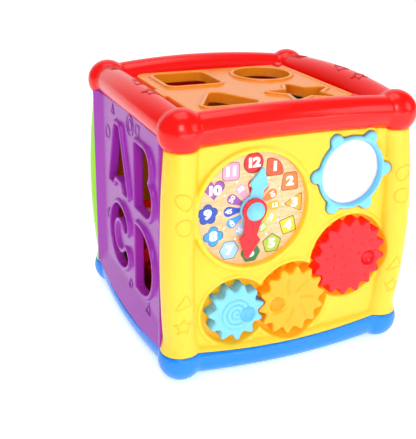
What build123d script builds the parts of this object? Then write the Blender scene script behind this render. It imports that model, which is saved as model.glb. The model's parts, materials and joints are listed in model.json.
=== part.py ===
from build123d import *
import math
import os
from collections import namedtuple

os.makedirs("parts", exist_ok=True)

# Baby activity cube: a top and a base frame of balls and bars, four side panels, a
# hinged lid with shape holes, and loose blocks. Origin: centre of the underside.
# +X right, +Y to the back, +Z up. The clock face looks along -Y. Millimetres.

# ------------------------------------------------------------ driving dimensions
SIZE = 160.0                 # overall width, depth and height
BALL_R = 13.0                # corner balls and feet
BALL_C = SIZE / 2 - BALL_R   # ball centre in x and y
TOP_Z = SIZE - BALL_R        # centre height of the upper balls
FOOT_Z = 12.3                # centre height of the feet, cut flat at z = 0
FOOT_CUT = 17.5              # top of the feet
CAP_CUT = 138.0              # underside of the upper balls
BAR_R = 9.5                  # edge bars and corner posts
BOW = 3.5                    # how far bars and posts bow outward at mid length
BAR_OUT = BALL_C + BOW       # bar centre line at mid length
TOP_BAR_Z = TOP_Z + BOW      # height of the upper bars at mid length
BASE_BAR_Z = 10.0            # height of the base bars at mid length
PART_MID_Z = 12.5            # parting line of the base frame at mid length
WALL = 2.5                   # wall of the hollow bars and posts
GAP = 0.12                   # assembly clearance between the shells
RUN = 0.06                   # radial running clearance of turning parts

PLATE = 2.2                  # side panel wall
FRONT_Y = 74.5               # curved panel surface at the middle
EDGE_Y = 72.0                # curved panel surface beside the posts
PLATE_HALF = 62.0            # half width of the front and back plates
PLATE_Z0 = 17.3              # bottom of the curved plates
PANEL_TOP = 144.0            # top of the side panels before trimming
POST_FOOT_C = 67.2           # centre of the flared post feet in x and y
PLUG_R = 8.0                 # plugs and spigots at the post ends
FLOOR_TOP = 35.3             # inner floor the blocks stand on

LID_Z0, LID_Z1 = 149.0, 152.5
HINGE_X, HINGE_Z = 51.6, 151.0
HINGE_PIN_R = 1.2

DIAL_C = (-26.3, 100.3)      # clock centre (x, z)
DIAL_R = 33.6
SPINDLE_R = 3.0
MIRROR_C = (35.5, 115.0)     # mirror centre (x, z)

SHAFT_R = 3.0                # shafts of the gears and the spinner
SCREW_R = 1.2                # small screws
PILOT_R = 1.22               # pilot holes for them
FIT = 0.6                    # clearance of a block in its own hole

THROUGH = 30.0               # depth of cuts that go right through a wall
UPRIGHT = (Align.CENTER, Align.CENTER, Align.MIN)


# ------------------------------------------------------------ planes
def front_plane(y):
    """Sketch plane facing -Y: local x is X, local y is Z."""
    return Plane(origin=(0, y, 0), x_dir=(1, 0, 0), z_dir=(0, -1, 0))


def back_plane(y):
    """Sketch plane facing +Y: local x is -X, local y is Z."""
    return Plane(origin=(0, y, 0), x_dir=(-1, 0, 0), z_dir=(0, 1, 0))


def left_plane(x):
    """Sketch plane facing -X: local x is -Y, local y is Z."""
    return Plane(origin=(x, 0, 0), x_dir=(0, -1, 0), z_dir=(-1, 0, 0))


def right_plane(x):
    """Sketch plane facing +X: local x is Y, local y is Z."""
    return Plane(origin=(x, 0, 0), x_dir=(0, 1, 0), z_dir=(1, 0, 0))


# ------------------------------------------------------------ helpers
# The solids below join, or cut, the BuildPart block they are called in.
def save(builder, name):
    """Label the finished piece and write its STEP file."""
    piece = builder.part
    piece.label = name
    export_step(piece, f"parts/{name}.step")


def disc(plane, centre, radius, depth, mode=Mode.ADD):
    """Round disc or hole, extruded from the plane along its normal."""
    with BuildSketch(plane) as face:
        with Locations(centre):
            Circle(radius)
    extrude(face.sketch, amount=depth, mode=mode)


def pegs(points, radius, height, mode=Mode.ADD):
    """Vertical cylinders standing on the given points."""
    with Locations(*points):
        Cylinder(radius, height, align=UPRIGHT, mode=mode)


def bowed_tube(start, middle, end, radius, mode=Mode.ADD):
    """Round bar along the arc through three points."""
    with BuildLine(mode=Mode.PRIVATE) as path:
        ThreePointArc(start, middle, end)
    with BuildSketch(Plane(origin=start, z_dir=path.line % 0), mode=Mode.PRIVATE) as section:
        Circle(radius)
    sweep(section.sketch, path=path.line, mode=mode)


def corners(z, y_sides=(-1, 1)):
    """The corner positions at height z, on the front (-1) and back (1) sides given."""
    return [(sx * BALL_C, sy * BALL_C, z) for sx in (-1, 1) for sy in y_sides]


def frame_ring(ball_z, bar_mid_z, grow=0.0):
    """Four corner balls and the four edge bars between them, inflated by grow."""
    with Locations(*corners(ball_z)):
        Sphere(BALL_R + grow)
    radius = BAR_R + grow
    for side in (-1, 1):
        bowed_tube((-BALL_C, side * BALL_C, ball_z), (0, side * BAR_OUT, bar_mid_z),
                   (BALL_C, side * BALL_C, ball_z), radius)
    for side in (-1, 1):
        bowed_tube((side * BALL_C, -BALL_C, ball_z), (side * BAR_OUT, 0, bar_mid_z),
                   (side * BALL_C, BALL_C, ball_z), radius)


def post(sx, sy, radius, mode=Mode.ADD):
    """One bowed corner post."""
    bowed_tube((sx * BALL_C, sy * BALL_C, FOOT_CUT),
               (sx * BAR_OUT, sy * BAR_OUT, (FOOT_CUT + CAP_CUT) / 2),
               (sx * BALL_C, sy * BALL_C, CAP_CUT), radius, mode)


def cut_below(z):
    """Remove everything below height z."""
    with Locations((0, 0, z - 30)):
        Box(200, 200, 60, mode=Mode.SUBTRACT)


def cut_above_parting(lift):
    """Remove everything above the base frame's parting line, which sags at mid length."""
    edge_z = FOOT_CUT + lift
    for plane in (front_plane(90), left_plane(90)):
        with BuildSketch(plane, mode=Mode.PRIVATE) as above:
            with BuildLine():
                ThreePointArc((-PLATE_HALF, edge_z), (0, PART_MID_Z + lift),
                              (PLATE_HALF, edge_z))
                Polyline((PLATE_HALF, edge_z), (90, edge_z), (90, 40), (-90, 40),
                         (-90, edge_z), (-PLATE_HALF, edge_z))
            make_face()
        extrude(above.sketch, amount=180, mode=Mode.SUBTRACT)


def hinge_rod(radius, length, mode=Mode.ADD):
    """Cylinder along the hinge line, centred on y = 0."""
    with Locations(Pos(HINGE_X, 0, HINGE_Z) * Rot(90, 0, 0)):
        Cylinder(radius, length, mode=mode)


def plate_screw_spots(z):
    """The four positions of the bottom plate's screws at height z."""
    return [(sx * 54.6, sy * 25, z) for sx in (-1, 1) for sy in (-1, 1)]


# ------------------------------------------------------------ fitting tools
# Frame rings at outer size, inflated by the assembly gap, and as the hollow inside.
with BuildPart() as top_outer:
    frame_ring(TOP_Z, TOP_BAR_Z)

with BuildPart() as top_tool:
    frame_ring(TOP_Z, TOP_BAR_Z, GAP)
    cut_below(CAP_CUT - GAP)

with BuildPart() as top_inner:
    frame_ring(TOP_Z, TOP_BAR_Z, -WALL)

with BuildPart() as base_outer:
    frame_ring(FOOT_Z, BASE_BAR_Z)

with BuildPart() as base_inner:
    frame_ring(FOOT_Z, BASE_BAR_Z, -WALL)

with BuildPart() as base_tool:
    frame_ring(FOOT_Z, BASE_BAR_Z, GAP)
    cut_above_parting(GAP)

# All four posts with their flared feet and spigots, inflated by the assembly gap.
with BuildPart() as post_tool:
    for sx in (-1, 1):
        for sy in (-1, 1):
            post(sx, sy, BAR_R + GAP)
    with Locations(*[(sx * POST_FOOT_C, sy * POST_FOOT_C, FOOT_CUT)
                     for sx in (-1, 1) for sy in (-1, 1)]):
        Cone(12.2 + GAP, 9.6, 9.2, align=UPRIGHT)
    pegs(corners(CAP_CUT - 10), PLUG_R + GAP, 10)


def trim_to_frames():
    """Cut the clearance for both frames."""
    add(base_tool.part, mode=Mode.SUBTRACT)
    add(top_tool.part, mode=Mode.SUBTRACT)


# ------------------------------------------------------------ top frame
LEDGE = 126.0                # outer edge of the inner ledges of both frames
MOUTH, MOUTH_CORNER = 101.0, 6.0   # opening under the lid
EAR_END_Y = (-45.5, 53.0)    # back face of each hinge ear
EAR_LENGTH = 7.5

with BuildPart() as top_frame:
    add(top_outer.part)
    # ledge under the lid
    with BuildSketch(Plane.XY.offset(144)):
        Rectangle(LEDGE, LEDGE)
        RectangleRounded(MOUTH, MOUTH, MOUTH_CORNER, mode=Mode.SUBTRACT)
    extrude(amount=4.4)
    # hollow bars and balls, open under each ball
    add(top_inner.part, mode=Mode.SUBTRACT)
    cut_below(CAP_CUT)
    # skirt under the ledge
    with BuildSketch(Plane.XY.offset(138.5)):
        RectangleRounded(106, 106, 8)
        RectangleRounded(MOUTH, MOUTH, MOUTH_CORNER, mode=Mode.SUBTRACT)
    extrude(amount=6)
    # hinge ears at both ends of the right edge
    for y in EAR_END_Y:
        with BuildSketch(Plane.XZ.offset(-y)):
            with Locations((HINGE_X, HINGE_Z)):
                Circle(3.0)
            with Locations((HINGE_X + 0.9, LID_Z0)):
                Rectangle(7.8, 3.6)
        extrude(amount=EAR_LENGTH)
    hinge_rod(HINGE_PIN_R + 0.02, 110, Mode.SUBTRACT)
save(top_frame, "top_frame")

# ------------------------------------------------------------ base frame with feet
with BuildPart() as base_frame:
    add(base_outer.part)
    # inner ledge above the bottom plate
    with BuildSketch(Plane.XY.offset(6.0)):
        Rectangle(LEDGE, LEDGE)
        RectangleRounded(106, 106, 6, mode=Mode.SUBTRACT)
    extrude(amount=2.5)
    add(base_inner.part, mode=Mode.SUBTRACT)
    # screw columns in the feet
    pegs(corners(1.0), 4.6, 18)
    cut_above_parting(0)
    cut_below(0)
    # screw holes and head recesses
    with Locations(*corners(0)):
        Cylinder(1.7, 60, mode=Mode.SUBTRACT)
        Cylinder(3.0, 10, mode=Mode.SUBTRACT)
    pegs(plate_screw_spots(2), PILOT_R, 8, Mode.SUBTRACT)
save(base_frame, "base_frame")

# ------------------------------------------------------------ letter outlines
# In left_plane coordinates (-y, z).
with BuildSketch() as letter_a:
    with BuildLine():
        Polyline((-38, 88.5), (-24, 129), (-14.5, 129), (1.5, 88), (-7.5, 88), (-11.5, 94),
                 (-24, 94), (-28.5, 88.5), close=True)
    make_face()
    fillet(letter_a.vertices(), 1.8)

with BuildSketch() as letter_b:
    with Locations((24, 108.25)):
        Rectangle(18, 40.5)
    with Locations((31.5, 118.2)):
        Circle(10.3)
    with Locations((34.2, 99.6)):
        Circle(11.6)
    fillet(letter_b.vertices().sort_by(Axis.X)[:2], 2.0)

with BuildSketch() as letter_c:
    with BuildLine(mode=Mode.PRIVATE) as c_stroke:
        CenterArc((-16.5, 56.5), 16.2, 42, 276)
    SlotArc(c_stroke.line.edge(), 9.4)

with BuildSketch() as letter_d:
    with BuildLine():
        Polyline((25, 77), (15, 77), (15, 35), (25, 35))
        ThreePointArc((25, 35), (45.5, 56), (25, 77))
    make_face()
    fillet(letter_d.vertices().sort_by(Axis.X)[:2], 2.0)

LETTERS = {"a": letter_a, "b": letter_b, "c": letter_c, "d": letter_d}

# ------------------------------------------------------------ shape outlines
# Seen from above, in (x, y).
STAR_C = (25.5, -30.0)
STAR_RADII = (22.0, 10.5)    # tips, valleys

with BuildSketch() as shape_square:
    with Locations((-28.0, 24.5)):
        RectangleRounded(35, 35, 5)

with BuildSketch() as shape_round:
    with Locations((25.5, 25.0)):
        Circle(18.5)

with BuildSketch() as shape_triangle:
    with BuildLine():
        Polyline((-27.0, -11.5), (-46.5, -46.0), (-7.5, -46.0), close=True)
    make_face()
    fillet(shape_triangle.vertices(), 4.0)

with BuildSketch() as shape_star:
    with BuildLine():
        Polyline(*[(STAR_C[0] + STAR_RADII[k % 2] * math.sin(math.radians(36 * k)),
                    STAR_C[1] + STAR_RADII[k % 2] * math.cos(math.radians(36 * k)))
                   for k in range(10)], close=True)
    make_face()
    fillet(shape_star.vertices(), 2.0)

SHAPES = {"square": shape_square, "round": shape_round,
          "triangle": shape_triangle, "star": shape_star}

# ------------------------------------------------------------ panel building blocks
# Lip of the front panel that rolls over the base bar, following its bow.
with BuildPart() as lip:
    bowed_tube((-60, -67.69, 11.84), (0, -BAR_OUT, BASE_BAR_Z), (60, -67.69, 11.84), BAR_R)
    bowed_tube((-75, -66.11, 12.88), (0, -BAR_OUT, BASE_BAR_Z), (75, -66.11, 12.88),
               BAR_R - PLATE, Mode.SUBTRACT)
    # keep only the upper outer part
    with Locations((0, -47.6, 15)):
        Box(160, 50.0, 60, mode=Mode.SUBTRACT)
    with Locations((0, -75, -9.0)):
        Box(160, 60.0, 40, mode=Mode.SUBTRACT)


def plate_with_lip(half_width, turn):
    """Gently bulged plate and lip, made at the front and turned about Z by turn degrees."""
    inner_edge, inner_mid = -EDGE_Y + PLATE, -FRONT_Y + PLATE
    plane = Plane.XY.offset(PLATE_Z0).rotated((0, 0, turn))
    with BuildSketch(plane) as plan:
        with BuildLine():
            ThreePointArc((-half_width, -EDGE_Y), (0, -FRONT_Y), (half_width, -EDGE_Y))
            Line((half_width, -EDGE_Y), (half_width, inner_edge))
            ThreePointArc((half_width, inner_edge), (0, inner_mid), (-half_width, inner_edge))
            Line((-half_width, inner_edge), (-half_width, -EDGE_Y))
        make_face()
    extrude(plan.sketch, amount=PANEL_TOP - PLATE_Z0)
    add(lip.part.rotate(Axis.Z, turn))


def panel_with_posts(side):
    """Plate, lip and two hollow posts on the front (side -1) or the back (side 1)."""
    for sx in (-1, 1):
        post(sx, side, BAR_R)
        with Locations((sx * POST_FOOT_C, side * POST_FOOT_C, FOOT_CUT + GAP)):
            Cone(12.2, 9.4, 8.9, align=UPRIGHT)
    plate_with_lip(PLATE_HALF, 0 if side < 0 else 180)
    # hollow posts with a screw plug at the foot and a spigot at the top
    for sx in (-1, 1):
        x, y = sx * BALL_C, side * BALL_C
        post(sx, side, BAR_R - WALL, Mode.SUBTRACT)
        pegs([(x, y, FOOT_CUT + GAP)], PLUG_R, 12)
        pegs([(x, y, CAP_CUT - 8)], PLUG_R, 8 - GAP)
        with Locations((x, y, 0)):
            Cylinder(1.52, 62, mode=Mode.SUBTRACT)


def finish_posts(side):
    """Trim the panel to both frames and add the pins that reach into the upper balls."""
    trim_to_frames()
    pegs(corners(CAP_CUT - 1, [side]), 5.2, 7)


# ------------------------------------------------------------ front panel
MODULE = 2.9                 # gear module
ADDENDUM, DEDENDUM = 1.8, 2.1
GEAR_FACE = -77.0            # y of the gear faces
POCKET_Y = -67.0             # y of the gear pocket floor
POCKET_WALL = 1.8
POCKET_CUT = 14.0            # depth of the pocket cuts, past the panel surface

# centre (x, z), teeth, tooth angle at rest, pocket radius, finger dimple offset (x, z)
Gear = namedtuple("Gear", "centre teeth phase pocket_r dimple")
GEARS = {
    "small": Gear((-36.133, 39.100), 11, 11.636, 20.6, (7.0, -2.0)),
    "medium": Gear((0.1, 40.2), 14, 6.820, 24.2, (-10.0, -1.0)),
    "large": Gear((37.819, 61.868), 16, 16.3, 27.0, (13.0, -2.5)),
}

with BuildPart() as front_panel:
    panel_with_posts(-1)
    # wall of the large gear's pocket where it cuts into the right post
    with BuildSketch(front_plane(-65.0)):
        with Locations(GEARS["large"].centre):
            Circle(GEARS["large"].pocket_r + POCKET_WALL)
        with Locations((0, 60)):
            Rectangle(120.6, 200, mode=Mode.SUBTRACT)
    extrude(amount=9.3)
    # gear pockets: cups with a bearing boss
    for gear in GEARS.values():
        disc(front_plane(POCKET_Y + 2.0), gear.centre, gear.pocket_r + POCKET_WALL, 6.8)
        disc(front_plane(-61.5), gear.centre, 5.6, 4.5)
    # clock pocket
    disc(front_plane(-67.8), DIAL_C, 36.5, 7.4)
    # mirror pocket
    with BuildSketch(front_plane(-68.8)):
        with Locations(MIRROR_C):
            Circle(24.5)
            with PolarLocations(24.0, 6):
                Circle(5.4)
    extrude(amount=5.0)
    # hollow the pockets and bore the shaft holes
    for gear in GEARS.values():
        disc(front_plane(POCKET_Y), gear.centre, gear.pocket_r, POCKET_CUT, Mode.SUBTRACT)
        disc(front_plane(-55), gear.centre, SHAFT_R + RUN, THROUGH, Mode.SUBTRACT)
    disc(front_plane(-69.9), DIAL_C, DIAL_R + 0.2, POCKET_CUT, Mode.SUBTRACT)
    disc(front_plane(-55), DIAL_C, SPINDLE_R + 0.05, THROUGH, Mode.SUBTRACT)
    with BuildSketch(front_plane(-70.8)):
        with Locations(MIRROR_C):
            Circle(22.4)
            with PolarLocations(23.0, 6):
                Circle(3.9)
    extrude(amount=POCKET_CUT, mode=Mode.SUBTRACT)
    finish_posts(-1)
save(front_panel, "front_panel")

# ------------------------------------------------------------ back panel
# Places on the back are in back_plane coordinates (-x, z).
KEY_PITCH = 16.0
KEY_Z, KEY_W, KEY_H = 58.0, 14.0, 34.0
KEY_SPOTS = [(KEY_PITCH * (2 - n), KEY_Z) for n in range(5)]
LIGHT_C = (0.0, 108.0)
SPEAKER_C = (-34.0, 108.0)
SWITCH_C = (34.0, 106.0)
SWITCH_RUN = 8.0             # upward travel of the switch
GRILLE_HOLE_R = 1.4

with BuildPart() as back_panel:
    panel_with_posts(1)
    # windows for keys, light button and switch, and the speaker grille
    with BuildSketch(back_plane(60)):
        with Locations(*KEY_SPOTS):
            RectangleRounded(KEY_W + 0.6, KEY_H + 0.6, 1.8)
        with Locations(LIGHT_C):
            Circle(11.4)
        with Locations((SWITCH_C[0], SWITCH_C[1] + SWITCH_RUN / 2)):
            RectangleRounded(6.2, 6.2 + SWITCH_RUN, 1.2)
        with Locations(SPEAKER_C):
            Circle(GRILLE_HOLE_R)
            with PolarLocations(4.8, 6):
                Circle(GRILLE_HOLE_R)
            with PolarLocations(9.4, 12):
                Circle(GRILLE_HOLE_R)
    extrude(amount=THROUGH, mode=Mode.SUBTRACT)
    finish_posts(1)
save(back_panel, "back_panel")

# ------------------------------------------------------------ letter panel (left)
LEFT_X = 74.5                # flat field of the letter panel
LEFT_Z0 = 11.0               # bottom of the panel before trimming
LEFT_HALF = 65.0             # half width
LEFT_INNER_X = -60.0         # inner side before hollowing
TOP_PART_EDGE_Z, TOP_PART_MID_Z = 140.6, 142.0   # upper trim line

with BuildPart() as left_panel:
    # flat field with flanks that fall inward towards the posts and the base bar
    for inset, mode in ((0.0, Mode.ADD), (PLATE, Mode.SUBTRACT)):
        field_x = -LEFT_X + inset
        inner_x = LEFT_INNER_X + inset
        half = LEFT_HALF + inset
        bottom, top = LEFT_Z0 - inset, PANEL_TOP + inset
        with BuildSketch(Plane.XY.offset(bottom)):
            with BuildLine():
                Polyline((inner_x, -half), (field_x - -4.6 - 9.2, -half), (field_x, -52),
                         (field_x, 52), (field_x - 4.6, half), (inner_x, half), close=True)
            make_face()
        extrude(amount=top - bottom, mode=mode)
        with BuildSketch(Plane.XZ.offset(half)):
            with BuildLine():
                Polyline((inner_x, bottom), (field_x - 5.2, bottom), (field_x - 4.9, 13),
                         (field_x, 30), (field_x, top), (inner_x, top), close=True)
            make_face()
        extrude(amount=-2 * half, mode=mode)
    # raised rims and sleeves around the letters
    for letter in LETTERS.values():
        with BuildSketch(left_plane(-70.5)):
            add(letter.sketch)
            offset(amount=2.4)
        extrude(amount=5.8)
    for letter in LETTERS.values():
        with BuildSketch(left_plane(-60)):
            add(letter.sketch)
        extrude(amount=THROUGH, mode=Mode.SUBTRACT)
    # trim to the bowed parting lines of the two frames
    with BuildSketch(left_plane(-70)):
        for edge_z, mid_z, far_z in (
            (TOP_PART_EDGE_Z, TOP_PART_MID_Z, 150),
            (FOOT_CUT + GAP, PART_MID_Z + GAP, 2),
        ):
            with BuildLine():
                ThreePointArc((-PLATE_HALF, edge_z), (0, mid_z), (PLATE_HALF, edge_z))
                Polyline((PLATE_HALF, edge_z), (70, edge_z), (70, far_z), (-70, far_z),
                         (-70, edge_z), (-PLATE_HALF, edge_z))
            make_face()
    extrude(amount=20, mode=Mode.SUBTRACT)
    add(post_tool.part, mode=Mode.SUBTRACT)
    trim_to_frames()
save(left_panel, "left_panel")

# ------------------------------------------------------------ right panel
SPIN_C = (0.0, 104.0)            # spinner centre (y, z)
SLIDE_Z = {"upper": 62.0, "lower": 42.0}
SLIDE_RUN = 40.0                 # travel of the slider beads

with BuildPart() as right_panel:
    plate_with_lip(63.0, 90)
    # spinner boss
    disc(right_plane(66.0), SPIN_C, 6.0, 8.0)
    with BuildSketch(right_plane(60)):
        with Locations(SPIN_C):
            Circle(SHAFT_R + RUN)
        with Locations(*[(0, z) for z in SLIDE_Z.values()]):
            SlotCenterToCenter(SLIDE_RUN, 7.0)
    extrude(amount=THROUGH, mode=Mode.SUBTRACT)
    add(post_tool.part, mode=Mode.SUBTRACT)
    trim_to_frames()
save(right_panel, "right_panel")

# ------------------------------------------------------------ lid
LID = 107.0                  # lid edge length
LID_T = LID_Z1 - LID_Z0
LID_RIM = 0.8                # height of the rims around the shape holes
KNUCKLE_HALF = 45.1          # half length of the hinge knuckle
EAR_NOTCH_X = 47.9           # left side of the notches around the hinge ears

with BuildPart() as top_lid:
    with BuildSketch(Plane.XY.offset(LID_Z0)):
        RectangleRounded(LID, LID, 8)
        with Locations((HINGE_X + 20, 0)):
            Rectangle(40, 120, mode=Mode.SUBTRACT)
        with Locations((EAR_NOTCH_X + 20, KNUCKLE_HALF + 20),
                       (EAR_NOTCH_X + 20, -KNUCKLE_HALF - 20)):
            Rectangle(40, 40, mode=Mode.SUBTRACT)
    extrude(amount=LID_T)
    fillet(top_lid.edges().group_by(Axis.Z)[-1].sort_by(Axis.X)[:1], 0.8)
    # knuckle along the hinge line
    disc(Plane.XZ.offset(KNUCKLE_HALF), (HINGE_X, HINGE_Z), 2.4, -2 * KNUCKLE_HALF)
    # finger tab
    with Locations((-54.2, 0, 151.2)):
        Box(3.0, 18, 2.0)
    # rims and sleeves around the shape holes
    for shape in SHAPES.values():
        with BuildSketch(Plane.XY.offset(145.5)):
            add(shape.sketch)
            offset(amount=1.6)
        extrude(amount=5.0)
        with BuildSketch(Plane.XY.offset(LID_Z0 + 1)):
            add(shape.sketch)
            offset(amount=2.6)
        extrude(amount=LID_T - 1 + LID_RIM)
    for shape in SHAPES.values():
        with BuildSketch(Plane.XY.offset(140)):
            add(shape.sketch)
        extrude(amount=THROUGH, mode=Mode.SUBTRACT)
    hinge_rod(HINGE_PIN_R + RUN, 120, Mode.SUBTRACT)
save(top_lid, "top_lid")

with BuildPart() as lid_hinge_pin:
    hinge_rod(HINGE_PIN_R, 105.6)
save(lid_hinge_pin, "lid_hinge_pin")

# ------------------------------------------------------------ clock
with BuildPart() as clock_dial:
    with BuildSketch(front_plane(-70.0)):
        with Locations(DIAL_C):
            Circle(DIAL_R)
            Circle(SPINDLE_R + 0.05, mode=Mode.SUBTRACT)
    extrude(amount=1.2)
save(clock_dial, "clock_dial")

with BuildPart() as clock_spindle:
    disc(front_plane(-66.2), DIAL_C, 6.0, 1.5)
    disc(front_plane(-67.0), DIAL_C, SPINDLE_R, 11.3)
save(clock_spindle, "clock_spindle")


def clock_hand(name, y, clockwise, half_outline, hub_r, thickness):
    """One hand at depth y, turned clockwise (degrees) from pointing up."""
    angle = math.radians(clockwise)
    plane = Plane(origin=(DIAL_C[0], y, DIAL_C[1]),
                  x_dir=(math.cos(angle), 0, -math.sin(angle)), z_dir=(0, -1, 0))
    left = [(-x, along) for x, along in half_outline]
    with BuildPart() as hand:
        with BuildSketch(plane):
            with BuildLine():
                Polyline(*left, *reversed(half_outline), close=True)
            make_face()
            Circle(hub_r)
            Circle(SPINDLE_R + RUN, mode=Mode.SUBTRACT)
        extrude(amount=thickness)
    save(hand, name)


# Half outlines from the hub to the tip: half width, distance along the hand.
clock_hand("hour_hand", -71.8, 12.6,
           [(3.8, 5), (3.8, 12.0), (5.8, 14.8), (0.6, 24.3)], hub_r=8.0, thickness=1.8)
clock_hand("minute_hand", -73.9, 188.6,
           [(6.0, 3), (3.8, 14.0), (6.5, 17.0), (0.7, 28.1)], hub_r=7.3, thickness=2.1)

CAP_SPHERE_R = 6.17
CAP_BACK_Y = -76.2           # flat back of the hub cap
with BuildPart() as hub_cap:
    with Locations((DIAL_C[0], -SIZE / 2 + CAP_SPHERE_R, DIAL_C[1])):
        Sphere(CAP_SPHERE_R)
    with Locations((DIAL_C[0], CAP_BACK_Y + 20, DIAL_C[1])):
        Box(40, 40, 40, mode=Mode.SUBTRACT)
    disc(front_plane(-70), DIAL_C, SPINDLE_R + 0.02, 8.4, Mode.SUBTRACT)
save(hub_cap, "hub_cap")

# ------------------------------------------------------------ mirror
MIRROR_R = 19.5

with BuildPart() as mirror_frame:
    with BuildSketch(front_plane(-70.9)):
        with Locations(MIRROR_C):
            Circle(22.0)
            with PolarLocations(23.0, 6):
                Circle(3.5)
            Circle(18.0, mode=Mode.SUBTRACT)
    extrude(amount=5.3)
    fillet(mirror_frame.faces().sort_by(Axis.Y)[0].outer_wire().edges(), 1.2)
    # seat for the mirror plate
    disc(front_plane(-70.0), MIRROR_C, MIRROR_R + 0.1, 2.9, Mode.SUBTRACT)
save(mirror_frame, "mirror_frame")

with BuildPart() as mirror_plate:
    disc(front_plane(-71.0), MIRROR_C, MIRROR_R, 1.8)
save(mirror_plate, "mirror_plate")


# ------------------------------------------------------------ gears
def gear_outline(teeth, phase):
    """Stubby gear outline with rounded tips and valleys, as a sketch."""
    pitch_r = MODULE * teeth / 2
    tip_r, valley_r = pitch_r + ADDENDUM, pitch_r - DEDENDUM
    pitch = 2 * math.pi / teeth
    tip, valley = 0.8 / tip_r, 0.8 / valley_r    # half angles of the flats
    points = []
    for i in range(teeth):
        tooth = math.radians(phase) + i * pitch
        gap = tooth + pitch / 2
        for radius, angle in ((tip_r, tooth - tip), (tip_r, tooth + tip),
                              (valley_r, gap - valley), (valley_r, gap + valley)):
            points.append((radius * math.cos(angle), radius * math.sin(angle)))
    with BuildSketch(mode=Mode.PRIVATE) as outline:
        with BuildLine():
            Polyline(*points, close=True)
        make_face()
        fillet(outline.vertices(), 0.7)
    return outline.sketch


def shaft_screw(head_plane, centre, shank_start=0.0):
    """Screw that holds a shaft from inside: wide flange, small head and shank."""
    disc(head_plane, centre, 5.4, 1.5)
    disc(head_plane.offset(-1.3), centre, 2.6, 1.5)
    disc(head_plane.offset(shank_start), centre, SCREW_R, 8.0)


for size, gear in GEARS.items():
    with BuildPart() as gear_wheel:
        with BuildSketch(front_plane(POCKET_Y - 0.4)):
            with Locations(gear.centre):
                add(gear_outline(gear.teeth, gear.phase))
        extrude(amount=-GEAR_FACE + POCKET_Y - 0.4)
        disc(front_plane(-61.3), gear.centre, SHAFT_R, 7.0)
        # finger dimple
        with Locations((gear.centre[0] + gear.dimple[0], GEAR_FACE - 1.2,
                        gear.centre[1] + gear.dimple[1])):
            Sphere(5.1, mode=Mode.SUBTRACT)
        disc(front_plane(-60), gear.centre, PILOT_R, 9.0, Mode.SUBTRACT)
    save(gear_wheel, "gear_" + size)

    with BuildPart() as gear_screw:
        shaft_screw(front_plane(-59.7), gear.centre, shank_start=0.3)
        # cross recess
        with BuildSketch(front_plane(-58.0)):
            with Locations(gear.centre):
                Rectangle(4.0, 0.8)
                Rectangle(0.8, 4.0)
        extrude(amount=1.2, mode=Mode.SUBTRACT)
    save(gear_screw, "gear_screw_" + size)

# ------------------------------------------------------------ spinner (right)
with BuildPart() as spinner:
    with BuildSketch(right_plane(75.6)):
        with Locations(SPIN_C):
            Circle(13.0)
            with PolarLocations(17.0, 3, start_angle=90):
                Circle(8.5)
    extrude(amount=4.0)
    fillet(spinner.faces().sort_by(Axis.X)[-1].outer_wire().edges(), 1.0)
    disc(right_plane(65.6), SPIN_C, SHAFT_R, 11.0)
    disc(right_plane(60), SPIN_C, PILOT_R, 14.0, Mode.SUBTRACT)
save(spinner, "spinner")

with BuildPart() as spinner_screw:
    shaft_screw(right_plane(64.0), SPIN_C)
save(spinner_screw, "spinner_screw")

# ------------------------------------------------------------ slider beads (right)
for level, z in SLIDE_Z.items():
    rest = (-SLIDE_RUN / 2, z)   # at the front end of the slot
    with BuildPart() as bead:
        disc(right_plane(74.9), rest, 8.0, 4.8)
        fillet(bead.faces().sort_by(Axis.X)[-1].edges(), 1.6)
        disc(right_plane(70.6), rest, 3.2, 5.0)
    save(bead, "slider_bead_" + level)

    with BuildPart() as clip:
        disc(right_plane(68.6), rest, 6.0, 2.0)
    save(clip, "slider_clip_" + level)


# ------------------------------------------------------------ keys, button and switch
def back_block(y, centre, width, height, depth, corner=0.0, mode=Mode.ADD):
    """Rectangular block or cut from depth y towards the back, with rounded corners."""
    with BuildSketch(back_plane(y)) as face:
        with Locations(centre):
            if corner:
                RectangleRounded(width, height, corner)
            else:
                Rectangle(width, height)
    extrude(face.sketch, amount=depth, mode=mode)


FLANGE_Y, FLANGE_T = 69.4, 1.4   # retaining flanges behind the panel wall

for number, spot in enumerate(KEY_SPOTS, 1):
    with BuildPart() as key:
        back_block(70.8, spot, KEY_W, KEY_H, 7.0, corner=1.5)
        fillet(key.faces().sort_by(Axis.Y)[-1].edges(), 1.0)
        back_block(FLANGE_Y, spot, KEY_W + 1.2, KEY_H + 2.6, FLANGE_T, corner=1.5)
    save(key, f"piano_key_{number}")

with BuildPart() as light_button:
    disc(back_plane(70.5), LIGHT_C, 11.0, 9.2)
    fillet(light_button.faces().sort_by(Axis.Y)[-1].edges(), 4.0)
    disc(back_plane(FLANGE_Y), LIGHT_C, 13.0, FLANGE_T)
    disc(back_plane(69.0), LIGHT_C, 8.5, 8.0, Mode.SUBTRACT)
save(light_button, "light_button")

with BuildPart() as power_switch:
    back_block(70.5, SWITCH_C, 5.6, 5.6, 5.5, corner=1.0)
    back_block(69.3, SWITCH_C, 9.0, 9.0, FLANGE_T)
save(power_switch, "power_switch")

# ------------------------------------------------------------ electronics
COVER_C = (0, 81)            # centre of the cover and the board, as (-x, z)
COVER_W, COVER_H = 100.0, 90.0
COVER_WALL = 2.0
BOARD_GAP = 1.0              # between the board and the cover wall

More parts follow.
